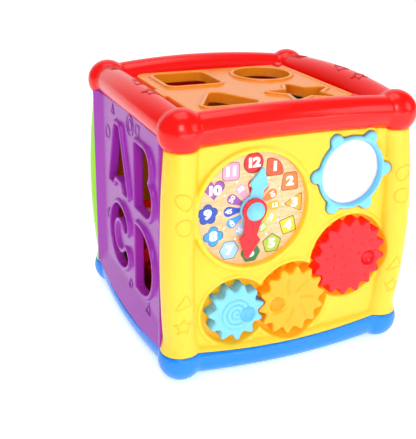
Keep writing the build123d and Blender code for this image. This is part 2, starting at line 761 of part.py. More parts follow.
with BuildPart() as electronics_cover:
    back_block(53.5, COVER_C, COVER_W, COVER_H, 16.6, corner=5)
    fillet(electronics_cover.faces().sort_by(Axis.Y)[0].edges(), 2.5)
    # side wing that screens the corner behind the letter openings
    back_block(56.5, (58.5, COVER_C[1]), 21, COVER_H, 2.0)
    back_block(53.5 + COVER_WALL, COVER_C, COVER_W - 2 * COVER_WALL,
               COVER_H - 2 * COVER_WALL, 20, corner=3.5, mode=Mode.SUBTRACT)
    # notch for the wires
    with Locations((-5, 58, 37)):
        Box(8, 5, 8, mode=Mode.SUBTRACT)
save(electronics_cover, "electronics_cover")

with BuildPart() as circuit_board:
    margin = 2 * (COVER_WALL + BOARD_GAP)
    back_block(63.4, COVER_C, COVER_W - margin, COVER_H - margin, 1.6, corner=2)
save(circuit_board, "circuit_board")

with BuildPart() as board_components:
    # three chips: centre (x, y, z), size (x, y, z)
    for centre, chip_size in (
        ((-20, 61.9, 82), (14, 3.0, 14)),
        ((12, 62.4, 92), (9, 2.0, 6)),
        ((22, 62.4, 74), (6, 2.0, 9)),
    ):
        with Locations(centre):
            Box(*chip_size)
    # two round components
    with Locations(*[Pos(x, 60.4, z) * Rot(90, 0, 0) for x, z in ((-2, 70), (30, 62))]):
        Cylinder(2.6, 6.0)
save(board_components, "board_components")

with BuildPart() as keypad_membrane:
    back_block(65.1, (0, KEY_Z), 82, 40, 1.0)
    # one tapered dome behind each key
    with BuildSketch(back_plane(66.0)):
        with Locations(*KEY_SPOTS):
            Circle(4.0)
    extrude(amount=1.0, taper=20)
save(keypad_membrane, "keypad_membrane")

with BuildPart() as speaker:
    disc(back_plane(65.2), SPEAKER_C, 8.0, 2.0)
    disc(back_plane(67.0), SPEAKER_C, 12.8, 3.2)
save(speaker, "speaker")

with BuildPart() as leds:
    with BuildSketch(back_plane(65.1)):
        with Locations(LIGHT_C):
            with PolarLocations(4.0, 3):
                Circle(2.0)
    extrude(amount=4.0)
    fillet(leds.faces().filter_by(Axis.Y).group_by(Axis.Y)[-1].edges(), 1.2)
save(leds, "leds")

# Two wires run back from the battery box, rise, and turn back into the board.
WIRE_R = 0.8
WIRE_Y0, WIRE_Y1, WIRE_Y2 = 23.0, 58.0, 63.2   # start, riser, end
WIRE_Z0, WIRE_Z1 = 12.0, 45.0
with BuildPart() as wires:
    for x in (-6.5, -3.5):
        with BuildLine() as wire_path:
            FilletPolyline((x, WIRE_Y0, WIRE_Z0), (x, WIRE_Y1, WIRE_Z0), (x, WIRE_Y1, WIRE_Z1),
                           (x, WIRE_Y2, WIRE_Z1), radius=2.0)
        with BuildSketch(Plane(origin=(x, WIRE_Y0, WIRE_Z0), z_dir=(0, 1, 0))):
            Circle(WIRE_R)
        sweep(path=wire_path.line)
save(wires, "wires")

# ------------------------------------------------------------ floor tray
FLOOR_T = 2.3
SKIRT_Z0 = 8.7               # lower edge of the walls under the floor

with BuildPart() as floor_tray:
    with BuildSketch(Plane.XY.offset(FLOOR_TOP - FLOOR_T)):
        with Locations((0, -2.5)):
            RectangleRounded(122, 110, 3)
    extrude(amount=FLOOR_T)
    # walls under the right, left and front edges
    with BuildSketch(Plane.XY.offset(SKIRT_Z0)):
        with Locations((55.5, -2), (-55.5, -2)):
            Rectangle(2, 100)
        with Locations((0, -55.5)):
            Rectangle(100, 2)
    extrude(amount=FLOOR_TOP - FLOOR_T - SKIRT_Z0 + 0.5)
save(floor_tray, "floor_tray")

# ------------------------------------------------------------ underside
BOTTOM_Z = 3.8               # underside of the bottom plate and the battery door
BOX_X = 4.0                  # centre of the battery box
DOOR_SCREW_X = 30.0


def box_block(z, width, depth, height, mode=Mode.ADD):
    """Block or cut standing at height z on the battery box centre."""
    with Locations((BOX_X, 0, z)):
        Box(width, depth, height, align=UPRIGHT, mode=mode)


with BuildPart() as bottom_plate:
    with BuildSketch(Plane.XY.offset(BOTTOM_Z)):
        RectangleRounded(113, 113, 4)
    extrude(amount=2.0)
    # battery box, its inside and the door opening
    box_block(BOTTOM_Z, 63, 44, 15.7)
    box_block(5.6, 59, 40, 12.4, Mode.SUBTRACT)
    box_block(3.0, 57, 38, 4.0, Mode.SUBTRACT)
    # column for the door screw
    pegs([(DOOR_SCREW_X, 0, 7.0)], 3.0, 11.5)
    pegs([(DOOR_SCREW_X, 0, 5.0)], 1.5, 11.0, Mode.SUBTRACT)
    pegs(plate_screw_spots(3.0), 1.3, 4.0, Mode.SUBTRACT)
save(bottom_plate, "bottom_plate")

with BuildPart() as battery_door:
    box_block(BOTTOM_Z, 56.4, 37.4, 1.8)
    pegs([(DOOR_SCREW_X, 0, 3.0)], 1.6, 4.0, Mode.SUBTRACT)
save(battery_door, "battery_door")

with BuildPart() as battery_door_screw:
    pegs([(DOOR_SCREW_X, 0, 2.2)], 2.6, 1.5)
    pegs([(DOOR_SCREW_X, 0, 3.0)], 1.4, 11.0)
save(battery_door_screw, "battery_door_screw")

# ------------------------------------------------------------ batteries
BATTERY_Y = (-12.0, 0.0, 12.0)
BATTERY_Z = 11.6

with BuildPart() as batteries:
    # cells, then their end buttons: centre x, radius, length
    for x, radius, length in ((0.6, 5.2, 43.5), (22.6, 1.9, 1.0)):
        with Locations(*[Pos(x, y, BATTERY_Z) * Rot(0, 90, 0) for y in BATTERY_Y]):
            Cylinder(radius, length)
save(batteries, "batteries")

with BuildPart() as battery_contacts:
    with Locations((-22.0, 0, BATTERY_Z), (24.0, 0, BATTERY_Z)):
        Box(0.6, 34.0, 9.0)
save(battery_contacts, "battery_contacts")

# ------------------------------------------------------------ screws of the underside
with BuildPart() as case_screws:
    pegs(corners(2.6), 2.8, 2.2)
    pegs(corners(2.6), 1.5, 26.0)
save(case_screws, "case_screws")

with BuildPart() as plate_screws:
    pegs(plate_screw_spots(2.3), 2.3, 1.4)
    pegs(plate_screw_spots(2.3), SCREW_R, 5.8)
save(plate_screws, "plate_screws")

# ------------------------------------------------------------ loose blocks
BLOCK_H = 30.0
LETTER_T = 11.5

for name, shape in SHAPES.items():
    with BuildPart() as block:
        with BuildSketch(Plane.XY.offset(FLOOR_TOP + 0.1)):
            add(shape.sketch)
            offset(amount=-FIT)
        extrude(amount=BLOCK_H)
        fillet(block.faces().sort_by(Axis.Z)[-1].edges(), 0.8)
    save(block, "block_" + name)

# C and D stand behind their openings, A and B stand beside the right wall.
# Name, x of the left face, drop from the height of the opening.
for name, face_x, drop in (("c", -62.0, 0), ("d", -62.0, 0), ("a", 47.5, 52.6), ("b", 47.5, 52.6)):
    with BuildPart() as block:
        with BuildSketch(left_plane(face_x + LETTER_T)):
            with Locations((0, -drop)):
                add(LETTERS[name].sketch)
            offset(amount=-FIT)
        extrude(amount=LETTER_T)
    save(block, "letter_" + name)
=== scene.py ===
# A toy activity cube. It stands on z = 0, centred on the z axis, its front towards -y, its
# left wall towards -x. Front: gears, clock and mirror. Left: letters. Top: lid with four shapes.
# Moulded pieces are distance fields in millimetres, negative inside, meshed as surface nets.
# Wall fields use: along = sideways on the wall, out = distance from the z axis towards it.
from collections import namedtuple
from math import cos, pi, radians, sin, sqrt
import bpy
import numpy as np
from mathutils import Matrix, Vector
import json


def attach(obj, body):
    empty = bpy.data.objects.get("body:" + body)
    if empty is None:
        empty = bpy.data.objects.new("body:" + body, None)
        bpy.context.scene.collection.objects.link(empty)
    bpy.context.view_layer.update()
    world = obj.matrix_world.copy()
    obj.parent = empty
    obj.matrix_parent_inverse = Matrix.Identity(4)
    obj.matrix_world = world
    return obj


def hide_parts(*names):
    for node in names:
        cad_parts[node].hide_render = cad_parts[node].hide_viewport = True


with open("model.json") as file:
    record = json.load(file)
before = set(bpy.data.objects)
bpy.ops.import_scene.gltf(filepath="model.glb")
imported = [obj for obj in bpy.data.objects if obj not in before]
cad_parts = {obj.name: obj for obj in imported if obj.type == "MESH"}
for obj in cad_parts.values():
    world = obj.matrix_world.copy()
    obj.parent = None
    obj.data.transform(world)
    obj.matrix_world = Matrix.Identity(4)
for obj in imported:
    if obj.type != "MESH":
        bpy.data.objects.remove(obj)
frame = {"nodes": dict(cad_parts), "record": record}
scene = bpy.context.scene
MM = 0.001                      # metres in a millimetre

# Frame bars, corner balls and posts
CORNER = 67.0                   # bar and post axes meet here, in x and in y
BOW = 3.5                       # outward bulge of a bar or post at its middle
BAR_RADIUS, BALL_RADIUS = 9.5, 13.0
TOP_Z, FOOT_Z = 147.0, 12.3     # heights of the ball centres
FOOT_MIDDLE_Z = 10.0            # height of a base bar's axis at its middle
SEAM_SIDE, SEAM_FRONT = 12.5, 14.6   # base seam at the middle of left/right and front/back
SEAM_END = 17.5                 # base seam at the corners
POST_TOP = 138.0
POST_MIDDLE = (SEAM_END + POST_TOP) / 2
GAP = 0.12                      # clearance between mouldings
WALL_OUT, WALL_HALF = 74.5, 1.1      # outer face at a wall's middle, half its thickness
EAR_X, EAR_Z = 51.6, 151.0      # axis of the top frame's ears and the lid's round edge
BORE = 3.06                     # radius of shaft holes

# Front wall fittings, centres as (x, z)
DIAL, MIRROR = (-26.3, 100.3), (35.5, 115.0)
# opening: radius of the hole in the wall; dimple: offset from the gear's centre
Gear = namedtuple("Gear", "x z teeth phase opening dimple_x dimple_z material")
GEARS = {
    "small": Gear(-36.133, 39.1, 11, 11.636, 20.6, 7.0, -2.0, "sky"),
    "medium": Gear(0.1, 40.2, 14, 6.82, 24.2, -10.0, -1.0, "amber"),
    "large": Gear(37.819, 61.868, 16, 16.3, 26.3, 13.0, -2.5, "gear_red"),
}
PITCH_PER_TOOTH = 1.45          # pitch radius of a gear per tooth

# ---------------------------------------------------------------- materials
FACTOR, FLOAT_A, FLOAT_B, COLOUR_A, COLOUR_B = 0, 2, 3, 6, 7    # sockets of a Mix node


def linear(rgb):
    rgb = np.asarray(rgb, float) / 255.0
    return tuple(np.where(rgb <= 0.04045, rgb / 12.92, ((rgb + 0.055) / 1.055) ** 2.4))


def set_inputs(node, **values):
    """Set sockets by name, an underscore standing for a space."""
    for key, value in values.items():
        node.inputs[key.replace("_", " ")].default_value = value


def add_node(tree, kind, **values):
    node = tree.nodes.new("ShaderNode" + kind)
    set_inputs(node, **values)
    return node


def add_colour_mix(tree):
    node = add_node(tree, "Mix")
    node.data_type = "RGBA"
    return node


def shader_of(material):
    return material.node_tree.nodes["Principled BSDF"]


def grained(name, roughness, subsurface, bump=0.02, specular=0.5, coat=0.0, metallic=0.0):
    """Material with uneven gloss and a fine grain; returns it and its broad noise."""
    material = bpy.data.materials.new(name)
    material.use_nodes = True
    tree, shader = material.node_tree, shader_of(material)
    link = tree.links.new
    place = add_node(tree, "TexCoord")
    mottle = add_node(tree, "TexNoise", Scale=14.0, Detail=3.0)
    link(place.outputs["Object"], mottle.inputs["Vector"])
    gloss = add_node(tree, "MapRange", To_Min=roughness * 0.85, To_Max=roughness * 1.2)
    link(mottle.outputs["Fac"], gloss.inputs["Value"])
    link(gloss.outputs["Result"], shader.inputs["Roughness"])
    grain = add_node(tree, "TexNoise", Scale=1260.0, Detail=2.0)
    link(place.outputs["Object"], grain.inputs["Vector"])
    relief = add_node(tree, "Bump", Strength=bump, Distance=0.0002)
    link(grain.outputs["Fac"], relief.inputs["Height"])
    link(relief.outputs["Normal"], shader.inputs["Normal"])
    set_inputs(shader, Specular_IOR_Level=specular, Metallic=metallic,
               Coat_Weight=coat, Coat_Roughness=0.08)
    if subsurface:
        set_inputs(shader, Subsurface_Weight=subsurface, Subsurface_Radius=(1.0, 0.7, 0.5),
                   Subsurface_Scale=0.0015)
    return material, mottle


def plastic(name, rgb, roughness, subsurface, vary=0.06, **finish):
    """Moulded plastic whose colour varies slightly."""
    material, mottle = grained(name, roughness, subsurface, **finish)
    tree, colour = material.node_tree, linear(rgb)
    mix = add_colour_mix(tree)
    mix.inputs[COLOUR_A].default_value = (*[c * (1 - vary) for c in colour], 1)
    mix.inputs[COLOUR_B].default_value = (*[min(1, c * (1 + vary * 0.5)) for c in colour], 1)
    tree.links.new(mottle.outputs["Fac"], mix.inputs[FACTOR])
    tree.links.new(mix.outputs[2], shader_of(material).inputs["Base Color"])
    return material


# key: name, sRGB colour, roughness, subsurface weight, other settings of plastic()
PLASTICS = {
    "red": ("toy_red", (250, 16, 12), 0.2, 0.10, dict(specular=0.4)),
    "yellow": ("toy_yellow", (253, 214, 60), 0.25, 0.25, dict(specular=0.4)),
    "blue": ("toy_blue", (6, 138, 248), 0.2, 0.10, {}),
    "lime": ("toy_lime", (160, 230, 20), 0.24, 0.12, {}),
    "purple": ("toy_purple", (166, 46, 182), 0.22, 0.10, dict(specular=0.32)),
    "teal": ("toy_teal", (20, 165, 160), 0.24, 0.10, {}),
    "orange": ("toy_orange", (255, 146, 26), 0.24, 0.12, {}),
    "amber": ("toy_amber", (255, 184, 25), 0.2, 0.15, {}),
    "sky": ("toy_sky", (128, 214, 250), 0.18, 0.15, {}),
    "gear_red": ("gear_red", (255, 26, 40), 0.2, 0.12, dict(specular=0.45)),
    "hand_red": ("hand_red", (245, 30, 45), 0.25, 0.1, {}),
    "hand_blue": ("hand_blue", (126, 212, 246), 0.2, 0.15, {}),
    "green": ("toy_green", (40, 165, 70), 0.25, 0.1, {}),
    "grey": ("grey_plastic", (90, 90, 95), 0.4, 0.0, {}),
    "board": ("board_green", (20, 95, 50), 0.35, 0.0, {}),
    "chip": ("chip_black", (25, 25, 28), 0.4, 0.0, {}),
    "steel": ("steel", (200, 200, 205), 0.28, 0.0, dict(metallic=1.0)),
    "cell": ("cell_sleeve", (60, 65, 80), 0.3, 0.0, {}),
    "silicone": ("silicone", (215, 220, 228), 0.5, 0.2, {}),
    "lens": ("button_lens", (255, 90, 90), 0.12, 0.3, dict(coat=0.5)),
    "wire": ("wire_red", (200, 25, 25), 0.45, 0.0, {}),
    # Icon line colours: darker copies of red, yellow and purple, painted shade standing for the
    # shadow along moulded outlines
    "shaded_red_line": ("shaded_red_line", (205, 8, 8), 0.3, 0.1, dict(specular=0.3)),
    "shaded_yellow_line": ("shaded_yellow_line", (248, 198, 34), 0.3, 0.2, dict(specular=0.4)),
    "shaded_purple_line": ("shaded_purple_line", (140, 30, 160), 0.3, 0.1, dict(specular=0.4)),
    "mirror": ("mirror_face", (226, 226, 234), 0.05, 0.0,
               dict(bump=0.0, vary=0.01, metallic=0.35, specular=0.8)),
}
MATERIALS = {key: plastic(*row[:4], **row[4]) for key, row in PLASTICS.items()}
set_inputs(shader_of(MATERIALS["yellow"]), Subsurface_Radius=(1.0, 0.55, 0.12),
           Subsurface_Scale=0.004)


def warm_hollows(material, rgb, reach, painted_glow):
    """Painted shade: blend the colour towards a darker, warmer one where the surface is closed
    in; painted light: with a glow, those hollows also emit that colour.
    """
    tree, shader = material.node_tree, shader_of(material)
    link = tree.links.new
    plain = shader.inputs["Base Color"].links[0].from_socket
    openness = add_node(tree, "AmbientOcclusion", Distance=reach)
    openness.samples = 4
    blend = add_node(tree, "MapRange", From_Min=0.25, From_Max=0.85)
    mix = add_colour_mix(tree)
    mix.inputs[COLOUR_A].default_value = (*linear(rgb), 1)
    link(openness.outputs["AO"], blend.inputs["Value"])
    link(blend.outputs["Result"], mix.inputs[FACTOR])
    link(plain, mix.inputs[COLOUR_B])
    link(mix.outputs[2], shader.inputs["Base Color"])
    # Painted light: closed-in spots emit the painted shade colour, so hollows look lit
    if painted_glow:
        strength = add_node(tree, "MapRange", From_Min=0.85, From_Max=0.3, To_Max=painted_glow)
        link(openness.outputs["AO"], strength.inputs["Value"])
        link(strength.outputs["Result"], shader.inputs["Emission Strength"])
        set_inputs(shader, Emission_Color=(*linear(rgb), 1))


# material, painted shade colour in hollows, reach in metres, strength of the painted glow in
# hollows
for key, rgb, reach, painted_glow in (
        ("yellow", (255, 186, 36), 0.009, 0.3), ("amber", (255, 135, 10), 0.006, 0.15),
        ("orange", (225, 100, 10), 0.006, 0), ("gear_red", (225, 0, 0), 0.006, 0.12),
        ("sky", (40, 160, 235), 0.006, 0)):
    warm_hollows(MATERIALS[key], rgb, reach, painted_glow)


def wood():
    """Pale wood with its grain stretched sideways."""
    material, _ = grained("dial_wood", roughness=0.45, subsurface=0.05)
    tree = material.node_tree
    link = tree.links.new
    place = add_node(tree, "TexCoord")
    stretch = add_node(tree, "Mapping", Scale=(55, 40, 420), Rotation=(0, 0.25, 0))
    grain = add_node(tree, "TexNoise", Scale=1.6, Detail=5, Distortion=0.6)
    tint = add_node(tree, "ValToRGB")
    stops = ((0.3, (236, 182, 128)), (0.72, (250, 212, 168)))
    for element, (position, rgb) in zip(tint.color_ramp.elements, stops):
        element.position = position
        element.color = (*linear(rgb), 1)
    link(place.outputs["Object"], stretch.inputs["Vector"])
    link(stretch.outputs["Vector"], grain.inputs["Vector"])
    link(grain.outputs["Fac"], tint.inputs["Fac"])
    link(tint.outputs["Color"], shader_of(material).inputs["Base Color"])
    return material


# Slots whose material is not simply the slot's name without "_plastic"
SLOT_MATERIALS = {"dial_print": "orange", "mirror_glass": "mirror", "chips": "chip"}
NODE_SLOT = {part["node"]: part["material_slot"] for part in frame["record"]["subparts"]}
NODE_BODY = {node: body for body, nodes in frame["record"]["behaviour"]["bodies"].items()
             for node in nodes}
for node, obj in frame["nodes"].items():
    slot = NODE_SLOT[node]
    key = SLOT_MATERIALS.get(slot, slot.removesuffix("_plastic"))
    obj.data.materials.clear()
    obj.data.materials.append(MATERIALS[key])


# ---------------------------------------------------------------- mesher
def gradient(field, points, reach=0.02):
    slope = np.empty_like(points)
    for axis in range(3):
        offset = np.zeros(3)
        offset[axis] = reach
        slope[:, axis] = (field(*(points + offset).T) - field(*(points - offset).T)) / (2 * reach)
    return slope


def surface_net(field, low, high, step):
    """Points and quads of field = 0 between two box corners, on a grid of the given step."""
    axes = [np.arange(low[i], high[i] + step, step) for i in range(3)]
    values = field(axes[0][:, None, None], axes[1][None, :, None], axes[2][None, None, :])
    values = np.broadcast_to(values.astype(np.float32), tuple(len(axis) for axis in axes))
    inside = values < 0
    size = [n - 1 for n in inside.shape]
    corners = np.zeros(size, np.int8)
    for i, j, k in np.ndindex(2, 2, 2):
        corners += inside[i:size[0] + i, j:size[1] + j, k:size[2] + k]
    active = (corners > 0) & (corners < 8)
    cells = np.argwhere(active)
    index = np.full(active.shape, -1, np.int64)
    index[active] = np.arange(len(cells))

    # One point per active cell: the mean of where its edges cross the surface
    total, count = np.zeros((len(cells), 3)), np.zeros(len(cells))
    for axis in range(3):
        second, third = (axis + 1) % 3, (axis + 2) % 3
        for i, j in np.ndindex(2, 2):
            start = [0, 0, 0]
            start[second], start[third] = i, j
            end = list(start)
            end[axis] = 1
            before, after = (values[tuple((cells + corner).T)] for corner in (start, end))
            crossed = (before < 0) != (after < 0)
            crossing = np.zeros((len(cells), 3))
            crossing[:, axis] = np.where(
                crossed, before / np.where(crossed, before - after, 1), 0)
            crossing[:, second], crossing[:, third] = i, j
            total += crossing * crossed[:, None]
            count += crossed
    points = (cells + total / count[:, None]) * step + np.array(low)

    # Move the points onto the surface, at most half a step at a time
    for _ in range(2):
        slope = gradient(field, points)
        move = -(field(*points.T) / ((slope ** 2).sum(1) + 1e-6))[:, None] * slope
        length = np.linalg.norm(move, axis=1)
        points = points + move * np.minimum(1, 0.5 * step / np.maximum(length, 1e-9))[:, None]

    # One quad around each grid edge that crosses the surface
    quads = []
    for axis in range(3):
        second, third = (axis + 1) % 3, (axis + 2) % 3
        start, end = [slice(1, -1)] * 3, [slice(1, -1)] * 3
        start[axis], end[axis] = slice(0, -1), slice(1, None)
        before, after = inside[tuple(start)], inside[tuple(end)]
        edges = np.argwhere(before != after)
        leaving = before[tuple(edges.T)]
        edges = edges + 1
        edges[:, axis] -= 1
        around = []
        for i, j in ((1, 1), (0, 1), (0, 0), (1, 0)):
            cell = edges.copy()
            cell[:, second] -= i
            cell[:, third] -= j
            around.append(index[tuple(cell.T)])
        quad = np.stack(around, 1)
        quad[~leaving] = quad[~leaving][:, ::-1]
        quads.append(quad)
    quads = np.concatenate(quads)
    return points, quads[(quads >= 0).all(1)]


def add_object(name, data):
    obj = bpy.data.objects.new(name, data)
    scene.collection.objects.link(obj)
    return obj


def shell(name, field, low, high, step, material, node):
    """A moulded piece meshed from its distance field, standing for one CAD node."""
    points, quads = surface_net(field, low, high, step)
    mesh = bpy.data.meshes.new(name)
    mesh.vertices.add(len(points))
    mesh.vertices.foreach_set("co", (points * MM).astype(np.float32).ravel())
    mesh.loops.add(quads.size)
    mesh.loops.foreach_set("vertex_index", quads.astype(np.int32).ravel())
    mesh.polygons.add(len(quads))
    mesh.polygons.foreach_set("loop_start", np.arange(0, quads.size, 4, dtype=np.int32))
    mesh.polygons.foreach_set("loop_total", np.full(len(quads), 4, np.int32))
    mesh.polygons.foreach_set("use_smooth", np.full(len(quads), True))
    mesh.update(calc_edges=True)
    mesh.validate()
    mesh.materials.append(MATERIALS[material])
    obj = add_object(name, mesh)
    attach(obj, NODE_BODY[node])
    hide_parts(node)


# ---------------------------------------------------------------- distance fields
def smooth_min(first, second, soft):
    blend = np.clip(0.5 + 0.5 * (second - first) / soft, 0, 1)
    return second * (1 - blend) + first * blend - soft * blend * (1 - blend)


def smooth_max(first, second, soft):
    return -smooth_min(-first, -second, soft)


def join(body, soft, *pieces):
    for piece in pieces:
        body = smooth_min(body, piece, soft)
    return body


def carve(body, soft, *holes):
    for hole in holes:
        body = smooth_max(body, -hole, soft)
    return body


def polygon(corners):
    """Exact signed distance to a closed polygon."""
    def field(x, y):
        x, y = np.broadcast_arrays(x, y)
        nearest, sign = np.full(x.shape, 1e9), np.ones(x.shape)
        for i, here in enumerate(corners):
            before = corners[i - 1]
            edge_x, edge_y = before - here
            from_x, from_y = x - here[0], y - here[1]
            part = np.clip((from_x * edge_x + from_y * edge_y)
                           / (edge_x * edge_x + edge_y * edge_y), 0, 1)
            nearest = np.minimum(
                nearest, (from_x - edge_x * part) ** 2 + (from_y - edge_y * part) ** 2)
            above, below = y >= here[1], y < before[1]
            beside = edge_x * from_y > edge_y * from_x
            crossed = (above & below & beside) | (~above & ~below & ~beside)
            sign = np.where(crossed, -sign, sign)
        return sign * np.sqrt(nearest)
    return field


def rounded_polygon(corners, radius):
    """Polygon moved in by the radius, then grown back so that its corners are round."""
    corners = np.asarray(corners, float)
    following = np.roll(corners, -1, axis=0)
    if np.sum(corners[:, 0] * following[:, 1] - following[:, 0] * corners[:, 1]) < 0:
        corners = corners[::-1]
    moved = []
    for i, here in enumerate(corners):
        before, after = corners[i - 1], corners[(i + 1) % len(corners)]
        arrive = (here - before) / np.linalg.norm(here - before)
        leave = (after - here) / np.linalg.norm(after - here)
        normal_in, normal_out = (np.array([-way[1], way[0]]) for way in (arrive, leave))
        spread = max(1 + normal_in @ normal_out, 0.15)
        moved.append(here + (normal_in + normal_out) / spread * radius)
    inner = polygon(moved)
    return lambda x, y: inner(x, y) - radius


def meet(first, second, radius):
    """Where two distances are both negative, the outer corner rounded."""
    first, second = first + radius, second + radius
    return (np.hypot(np.maximum(first, 0), np.maximum(second, 0))
            + np.minimum(np.maximum(first, second), 0) - radius)


def rectangle(x, y, centre_x, centre_y, half_x, half_y, radius):
    return meet(np.abs(x - centre_x) - half_x, np.abs(y - centre_y) - half_y, radius)


def prism(outline, depth, start, end, radius):
    """Outline extruded from start to end along depth, all edges rounded."""
    return meet(outline, np.abs(depth - (start + end) / 2) - (end - start) / 2, radius)


def pocket(outline, out, floor):
    """Hole open to the outside, down to a floor."""
    return np.maximum(outline, floor - out)


def star(x, y, outer, inner):
    """Corners of a five-pointed star, one point straight up."""
    return [(x + (inner if k % 2 else outer) * sin(radians(36 * k)),
             y + (inner if k % 2 else outer) * cos(radians(36 * k))) for k in range(10)]


# ---------------------------------------------------------------- top and base frames
def bow(along):
    return BOW * (1 - np.clip(np.abs(along) / CORNER, 0, 1) ** 2)


def bar_axis(along, out, z, top):
    """Distance from the bowed axis of an edge bar."""
    rise = bow(along)
    height = TOP_Z + rise if top else FOOT_Z - (FOOT_Z - FOOT_MIDDLE_Z) / BOW * rise
    return np.hypot(out - CORNER - rise, z - height)


def bar(along, out, z, top):
    return np.maximum(bar_axis(along, out, z, top) - BAR_RADIUS, np.abs(along) - CORNER)


def ball_centre(x, y, z, height):
    """Distance from the centre of the nearest corner ball."""
    return np.sqrt((np.abs(x) - CORNER) ** 2 + (np.abs(y) - CORNER) ** 2 + (z - height) ** 2)


def frame_ring(x, y, z, top):
    bars = np.minimum(bar(x, np.abs(y), z, top), bar(y, np.abs(x), z, top))
    ball = ball_centre(x, y, z, TOP_Z if top else FOOT_Z) - BALL_RADIUS
    return join(bars, 0.9, ball)


def square_ring(x, y, outer, outer_radius, inner):
    return np.maximum(rectangle(x, y, 0, 0, outer, outer, outer_radius),
                      -rectangle(x, y, 0, 0, inner, inner, 6))


def seam(along, middle):
    """Height of the seam between base and wall."""
    return middle + (SEAM_END - middle) * (np.abs(along) / 62.0) ** 2


def top_frame(x, y, z):
    body = smooth_max(frame_ring(x, y, z, True), POST_TOP - z, 0.8)
    ledge = prism(square_ring(x, y, 63, 4, 50.5), z, 144.0, 148.4, 0.5)
    skirt = prism(square_ring(x, y, 53, 8, 50.5), z, 138.5, 145.0, 0.4)
    body = np.minimum(join(body, 1.6, ledge), skirt)
    ears = prism(np.hypot(x - EAR_X, z - EAR_Z) - 3.0, np.abs(y), 45.5, 53.0, 0.8)
    feet = prism(rectangle(x, z, 52.5, 149.0, 3.9, 1.8, 0.5), np.abs(y), 45.5, 53.0, 0.6)
    return np.minimum(body, join(ears, 0.8, feet))


def base_frame(x, y, z):
    side_x, side_y = np.abs(x), np.abs(y)
    hollow = np.minimum(np.hypot(side_y - CORNER - bow(x), z - FOOT_MIDDLE_Z) - 7.0,
                        np.hypot(side_x - CORNER - bow(y), z - FOOT_MIDDLE_Z) - 7.0)
    body = carve(frame_ring(x, y, z, False), 0.3, hollow)
    ball = ball_centre(x, y, z, FOOT_Z)
    body = np.minimum(body, carve(ball - BALL_RADIUS, 0.3, ball - 10.5))
    # Trim to the seam, level around each corner
    above = z - np.where(side_y > side_x, seam(x, SEAM_FRONT), seam(y, SEAM_SIDE))
    at_corner = np.hypot(side_x - CORNER, side_y - CORNER) < 13.5
    body = smooth_max(body, np.where(at_corner, z - SEAM_END, above), 0.5)
    ledge = prism(square_ring(x, y, 62, 2, 53), z, 6.0, 8.5, 0.3)
    return np.maximum(np.minimum(body, ledge), -z)


# ---------------------------------------------------------------- walls
def wall_out(along):
    return WALL_OUT - 2.5 * (along / 60.0) ** 2


def top_bar(along, out, z):
    return bar_axis(along, out, z, True) - BAR_RADIUS


def plate(along, out, z, seam_middle=SEAM_FRONT):
    """Bulged wall with a lip over the base bar, trimmed to clear the top bar."""
    body = np.abs(out - (wall_out(along) - WALL_HALF)) - WALL_HALF
    body = np.maximum(body, 17.3 - z)
    lip = np.abs(bar_axis(along, out, z, False) - 8.6) - 1.25
    lip = smooth_max(np.maximum(lip, 72.6 - out), seam(along, seam_middle) + GAP - z, 0.9)
    body = join(body, 1.0, np.maximum(lip, z - 21.0))
    body = carve(body, 0.4, top_bar(along, out, z) - GAP)
    return np.maximum(np.maximum(body, np.abs(along) - 62.5), z - 146.0)


def post_bow(z):
    return BOW * (1 - np.clip(np.abs(z - POST_MIDDLE) / (POST_TOP - POST_MIDDLE), 0, 1.05) ** 2)


def posts(along, out, z):
    """The two bowed corner posts beside a wall, each with a collar at its foot."""
    side, bulge = np.abs(along), post_bow(z)
    body = np.hypot(side - CORNER - bulge, out - CORNER - bulge) - BAR_RADIUS
    collar = np.hypot(side - 67.2, out - 67.2) - (11.75 - (z - SEAM_END) * 0.27)
    body = join(body, 1.2, np.maximum(collar, z - 27.5))
    return smooth_max(smooth_max(body, z - (POST_TOP - GAP), 0.5), SEAM_END + GAP - z, 0.5)


def below_seam(along):
    """Height under which the front and back walls are cut away."""
    return np.minimum(seam(along, SEAM_FRONT), SEAM_END) + GAP


def mirror_outline(along, z, grow):
    """Disc with six small lobes."""
    outline = np.hypot(along - MIRROR[0], z - MIRROR[1]) - 22.0
    for k in range(6):
        angle = radians(60 * k)
        outline = join(outline, 2.4, np.hypot(along - MIRROR[0] - 23.0 * cos(angle),
                                              z - MIRROR[1] - 23.0 * sin(angle)) - 3.9)
    return outline - grow


def front_panel(x, y, z):
    along, out = x, -y
    body = join(plate(along, out, z), 0.6, posts(along, out, z))
    openings = [np.hypot(along - gear.x, z - gear.z) - gear.opening for gear in GEARS.values()]
    for opening in openings:
        body = join(body, 0.6, prism(opening - 1.8, out, 65.0, 73.0, 0.4))
        rim = np.hypot(opening - 1.3, out - wall_out(along) + 0.4) - 1.35
        body = join(body, 0.7, rim)
    dial = np.hypot(along - DIAL[0], z - DIAL[1])
    body = join(body, 1.2, prism(dial - 36.7, out, 67.8, 75.3, 1.3))
    body = join(body, 0.8, prism(mirror_outline(along, z, 1.9), out, 68.8, 73.6, 0.5))
    body = carve(body, 0.7, *[pocket(opening, out, 67.0) for opening in openings])
    body = carve(body, 0.6, pocket(dial - 33.8, out, 69.9))
    body = carve(body, 0.4, pocket(mirror_outline(along, z, 0.45), out, 70.8))
    return smooth_max(body, below_seam(along) - z, 0.8)


def letter_b(along, z):
    stem = rectangle(along, z, 24, 108.25, 9, 20.25, 2)
    upper = np.hypot(along - 31.5, z - 118.2) - 10.3
    return np.minimum(np.minimum(stem, upper), np.hypot(along - 34.2, z - 99.6) - 11.6)


